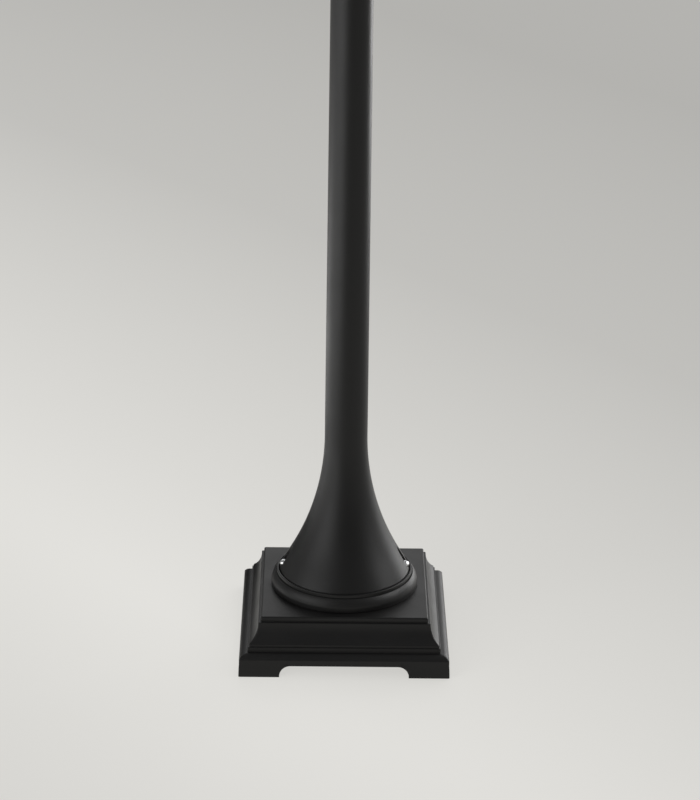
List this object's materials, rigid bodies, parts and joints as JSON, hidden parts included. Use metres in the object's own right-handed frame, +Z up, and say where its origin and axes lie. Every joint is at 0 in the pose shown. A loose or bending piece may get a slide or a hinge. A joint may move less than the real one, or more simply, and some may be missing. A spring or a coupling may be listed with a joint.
{
  "type": "bollard lantern",
  "caption": "Garden bollard lantern: square moulded plinth with bracket feet, trumpet-flared slim post in a round collar, and a glazed lantern head with a lift-off roof.",
  "frame": {"origin": "on the ground under the middle of the plinth", "axes": "+Z up the pole, front is -Y, the two bright foot screws lie on the X axis"},
  "size_m": [0.2024, 0.2, 1.0031],
  "materials": {
    "black_coat": "satin",
    "bright_screw": "polished",
    "zinc_steel": "satin",
    "sleeve_metal": "satin",
    "gland_plastic": "matte",
    "black_rubber": "matte",
    "block_plastic": "satin",
    "brass": "satin",
    "lead_sheath": "matte",
    "pane_glass": "gloss",
    "holder_ceramic": "gloss",
    "cap_metal": "satin",
    "bulb_glass": "gloss",
    "filament": "matte",
    "washer_nylon": "matte"
  },
  "bodies": {
    "post": {"plinth": "black_coat", "collar_ring": "black_coat", "post_foot": "black_coat", "pole": "black_coat", "neck_casting": "black_coat", "lantern_pan": "black_coat", "top_frame": "black_coat", "corner_bar_front_left": "black_coat", "corner_bar_front_right": "black_coat", "corner_bar_back_left": "black_coat", "corner_bar_back_right": "black_coat", "post_foot_screws": "bright_screw", "collar_screws": "zinc_steel", "terminal_fixing_screws": "zinc_steel", "neck_set_screws": "zinc_steel", "pan_screws": "zinc_steel", "lower_bar_screws": "zinc_steel", "upper_bar_screws": "zinc_steel", "holder_screws": "zinc_steel", "joint_sleeve": "sleeve_metal", "gland_body": "gland_plastic", "gland_lock_nut": "gland_plastic", "gland_cap": "gland_plastic", "collar_seal": "black_rubber", "gland_seal": "black_rubber", "neck_grommet": "black_rubber", "terminal_block": "block_plastic", "terminal_screws": "brass", "earth_stud": "brass", "earth_nut": "brass", "centre_contact": "brass", "inner_lead": "lead_sheath", "glass_front": "pane_glass", "glass_back": "pane_glass", "glass_left": "pane_glass", "glass_right": "pane_glass", "lamp_holder": "holder_ceramic"},
    "roof": {"roof_shell": "black_coat", "roof_gasket": "black_rubber", "finial": "black_coat", "finial_nut": "zinc_steel"},
    "right_thumb_washer": {"thumb_washer_right": "washer_nylon"},
    "right_thumb_screw": {"thumb_screw_right": "bright_screw"},
    "left_thumb_washer": {"thumb_washer_left": "washer_nylon"},
    "left_thumb_screw": {"thumb_screw_left": "bright_screw"},
    "lamp_ring": {"lamp_seal": "black_rubber"},
    "lamp": {"lamp_cap": "cap_metal", "lamp_bulb": "bulb_glass", "lamp_stem": "bulb_glass", "lamp_filaments": "filament"}
  },
  "joints": [
    {"name": "roof_lift", "type": "slide", "parent": "post", "child": "roof", "axis": [0, 0, 1], "range_m": [0, 0.15]},
    {"name": "right_thumb_travel", "type": "slide", "parent": "roof", "child": "right_thumb_washer", "axis": [1, 0, 0], "range_m": [0, 0.0057]},
    {"name": "right_thumb_turn", "type": "hinge", "parent": "right_thumb_washer", "child": "right_thumb_screw", "pos_m": [0.094, 0, 0.90503], "axis": [1, 0, 0], "range_deg": [0, 2880]},
    {"name": "left_thumb_travel", "type": "slide", "parent": "roof", "child": "left_thumb_washer", "axis": [-1, 0, 0], "range_m": [0, 0.0057]},
    {"name": "left_thumb_turn", "type": "hinge", "parent": "left_thumb_washer", "child": "left_thumb_screw", "pos_m": [-0.094, 0, 0.90503], "axis": [-1, 0, 0], "range_deg": [0, 2880]},
    {"name": "lamp_rise", "type": "slide", "parent": "post", "child": "lamp_ring", "axis": [0, 0, 1], "range_m": [0, 0.01472]},
    {"name": "lamp_turn", "type": "hinge", "parent": "lamp_ring", "child": "lamp", "pos_m": [0, 0, 0.779], "axis": [0, 0, 1], "range_deg": [0, 1440]}
  ],
  "couplings": [
    {"joint": "lamp_rise", "follows": "lamp_turn", "m_per_rad": 0.00057757},
    {"joint": "right_thumb_travel", "follows": "right_thumb_turn", "m_per_rad": 0.00011141},
    {"joint": "left_thumb_travel", "follows": "left_thumb_turn", "m_per_rad": 0.00011141}
  ]
}
